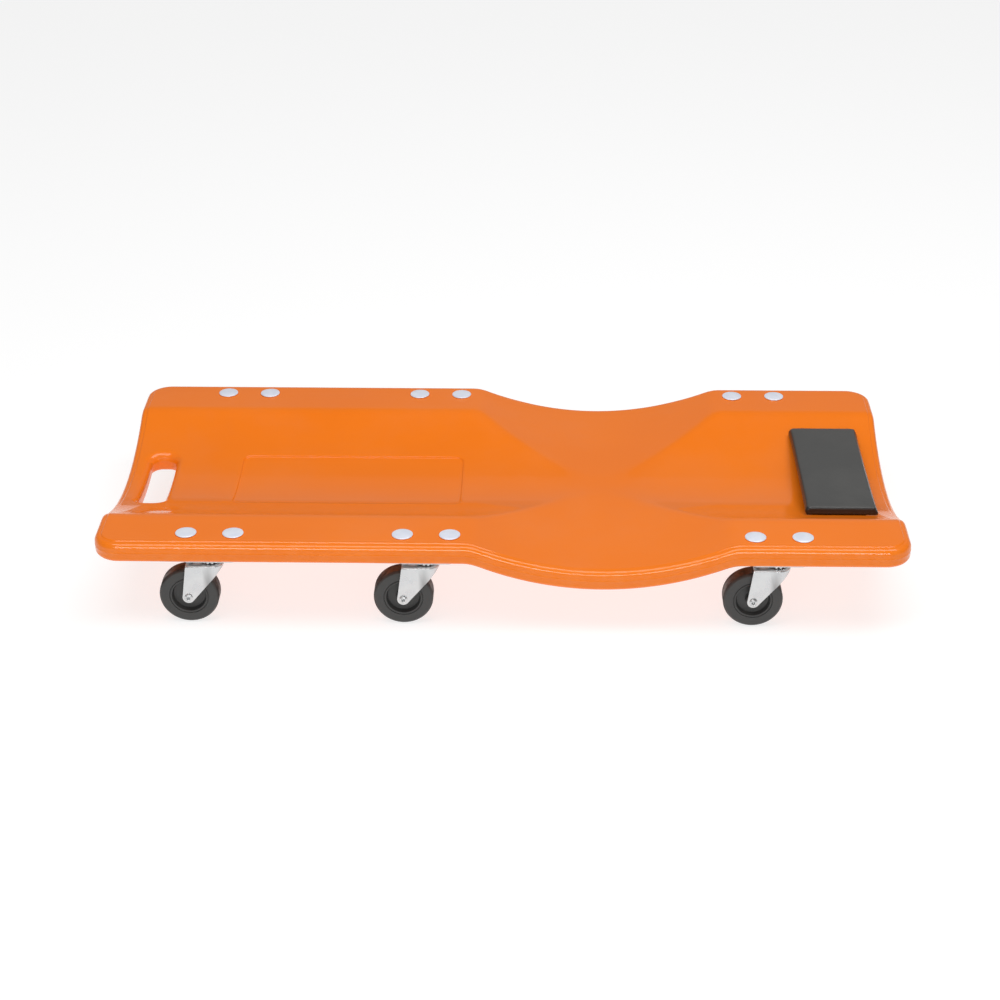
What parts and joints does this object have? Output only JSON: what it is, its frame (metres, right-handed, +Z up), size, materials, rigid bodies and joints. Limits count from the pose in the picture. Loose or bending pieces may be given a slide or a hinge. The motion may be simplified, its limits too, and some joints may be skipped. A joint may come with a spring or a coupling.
{
  "type": "mechanics creeper",
  "caption": "Low rolling mechanics creeper: an orange blow-moulded deck with a body trough and a cross dip, a hand slot, a padded headrest and swivel casters.",
  "frame": {"origin": "on the floor, under the middle of the deck", "axes": "+X along the deck towards the headrest end, +Y across the deck, +Z up; at rest all casters trail towards -X"},
  "size_m": [1.016, 0.47, 0.1237],
  "materials": {
    "orange_plastic": "satin",
    "charcoal_vinyl": "satin grained vinyl",
    "black_board": "matte painted hardboard",
    "zinc_plated_steel": "bright zinc",
    "bright_plated_steel": "bright zinc",
    "dark_grey_wheel": "matte"
  },
  "bodies": {
    "deck": {"deck": "orange_plastic", "headrest_board": "black_board", "headrest_cushion": "charcoal_vinyl", "headrest_screw_left": "zinc_plated_steel", "headrest_screw_right": "zinc_plated_steel", "foot_left_caster_plate": "zinc_plated_steel", "foot_left_caster_kingpin": "zinc_plated_steel", "foot_left_bolt_front": "bright_plated_steel", "foot_left_nut_front": "zinc_plated_steel", "foot_left_bolt_rear": "bright_plated_steel", "foot_left_nut_rear": "zinc_plated_steel", "foot_right_caster_plate": "zinc_plated_steel", "foot_right_caster_kingpin": "zinc_plated_steel", "foot_right_bolt_front": "bright_plated_steel", "foot_right_nut_front": "zinc_plated_steel", "foot_right_bolt_rear": "bright_plated_steel", "foot_right_nut_rear": "zinc_plated_steel", "middle_left_caster_plate": "zinc_plated_steel", "middle_left_caster_kingpin": "zinc_plated_steel", "middle_left_bolt_front": "bright_plated_steel", "middle_left_nut_front": "zinc_plated_steel", "middle_left_bolt_rear": "bright_plated_steel", "middle_left_nut_rear": "zinc_plated_steel", "middle_right_caster_plate": "zinc_plated_steel", "middle_right_caster_kingpin": "zinc_plated_steel", "middle_right_bolt_front": "bright_plated_steel", "middle_right_nut_front": "zinc_plated_steel", "middle_right_bolt_rear": "bright_plated_steel", "middle_right_nut_rear": "zinc_plated_steel", "head_left_caster_plate": "zinc_plated_steel", "head_left_caster_kingpin": "zinc_plated_steel", "head_left_bolt_front": "bright_plated_steel", "head_left_nut_front": "zinc_plated_steel", "head_left_bolt_rear": "bright_plated_steel", "head_left_nut_rear": "zinc_plated_steel", "head_right_caster_plate": "zinc_plated_steel", "head_right_caster_kingpin": "zinc_plated_steel", "head_right_bolt_front": "bright_plated_steel", "head_right_nut_front": "zinc_plated_steel", "head_right_bolt_rear": "bright_plated_steel", "head_right_nut_rear": "zinc_plated_steel"},
    "foot_left_swivel": {"foot_left_caster_fork": "zinc_plated_steel", "foot_left_caster_axle": "zinc_plated_steel"},
    "foot_left_wheel": {"foot_left_caster_wheel": "dark_grey_wheel"},
    "foot_right_swivel": {"foot_right_caster_fork": "zinc_plated_steel", "foot_right_caster_axle": "zinc_plated_steel"},
    "foot_right_wheel": {"foot_right_caster_wheel": "dark_grey_wheel"},
    "middle_left_swivel": {"middle_left_caster_fork": "zinc_plated_steel", "middle_left_caster_axle": "zinc_plated_steel"},
    "middle_left_wheel": {"middle_left_caster_wheel": "dark_grey_wheel"},
    "middle_right_swivel": {"middle_right_caster_fork": "zinc_plated_steel", "middle_right_caster_axle": "zinc_plated_steel"},
    "middle_right_wheel": {"middle_right_caster_wheel": "dark_grey_wheel"},
    "head_left_swivel": {"head_left_caster_fork": "zinc_plated_steel", "head_left_caster_axle": "zinc_plated_steel"},
    "head_left_wheel": {"head_left_caster_wheel": "dark_grey_wheel"},
    "head_right_swivel": {"head_right_caster_fork": "zinc_plated_steel", "head_right_caster_axle": "zinc_plated_steel"},
    "head_right_wheel": {"head_right_caster_wheel": "dark_grey_wheel"}
  },
  "joints": [
    {"name": "foot_left_swivel_turn", "type": "hinge", "parent": "deck", "child": "foot_left_swivel", "pos_m": [-0.3635, -0.205, 0.0832], "axis": [0, 0, 1], "continuous": true},
    {"name": "foot_left_wheel_roll", "type": "hinge", "parent": "foot_left_swivel", "child": "foot_left_wheel", "pos_m": [-0.3928, -0.205, 0.0375], "axis": [0, 1, 0], "continuous": true},
    {"name": "foot_right_swivel_turn", "type": "hinge", "parent": "deck", "child": "foot_right_swivel", "pos_m": [-0.3635, 0.205, 0.0832], "axis": [0, 0, 1], "continuous": true},
    {"name": "foot_right_wheel_roll", "type": "hinge", "parent": "foot_right_swivel", "child": "foot_right_wheel", "pos_m": [-0.3928, 0.205, 0.0375], "axis": [0, 1, 0], "continuous": true},
    {"name": "middle_left_swivel_turn", "type": "hinge", "parent": "deck", "child": "middle_left_swivel", "pos_m": [-0.0937, -0.205, 0.0832], "axis": [0, 0, 1], "continuous": true},
    {"name": "middle_left_wheel_roll", "type": "hinge", "parent": "middle_left_swivel", "child": "middle_left_wheel", "pos_m": [-0.123, -0.205, 0.0375], "axis": [0, 1, 0], "continuous": true},
    {"name": "middle_right_swivel_turn", "type": "hinge", "parent": "deck", "child": "middle_right_swivel", "pos_m": [-0.0937, 0.205, 0.0832], "axis": [0, 0, 1], "continuous": true},
    {"name": "middle_right_wheel_roll", "type": "hinge", "parent": "middle_right_swivel", "child": "middle_right_wheel", "pos_m": [-0.123, 0.205, 0.0375], "axis": [0, 1, 0], "continuous": true},
    {"name": "head_left_swivel_turn", "type": "hinge", "parent": "deck", "child": "head_left_swivel", "pos_m": [0.3442, -0.205, 0.0832], "axis": [0, 0, 1], "continuous": true},
    {"name": "head_left_wheel_roll", "type": "hinge", "parent": "head_left_swivel", "child": "head_left_wheel", "pos_m": [0.3149, -0.205, 0.0375], "axis": [0, 1, 0], "continuous": true},
    {"name": "head_right_swivel_turn", "type": "hinge", "parent": "deck", "child": "head_right_swivel", "pos_m": [0.3442, 0.205, 0.0832], "axis": [0, 0, 1], "continuous": true},
    {"name": "head_right_wheel_roll", "type": "hinge", "parent": "head_right_swivel", "child": "head_right_wheel", "pos_m": [0.3149, 0.205, 0.0375], "axis": [0, 1, 0], "continuous": true}
  ]
}
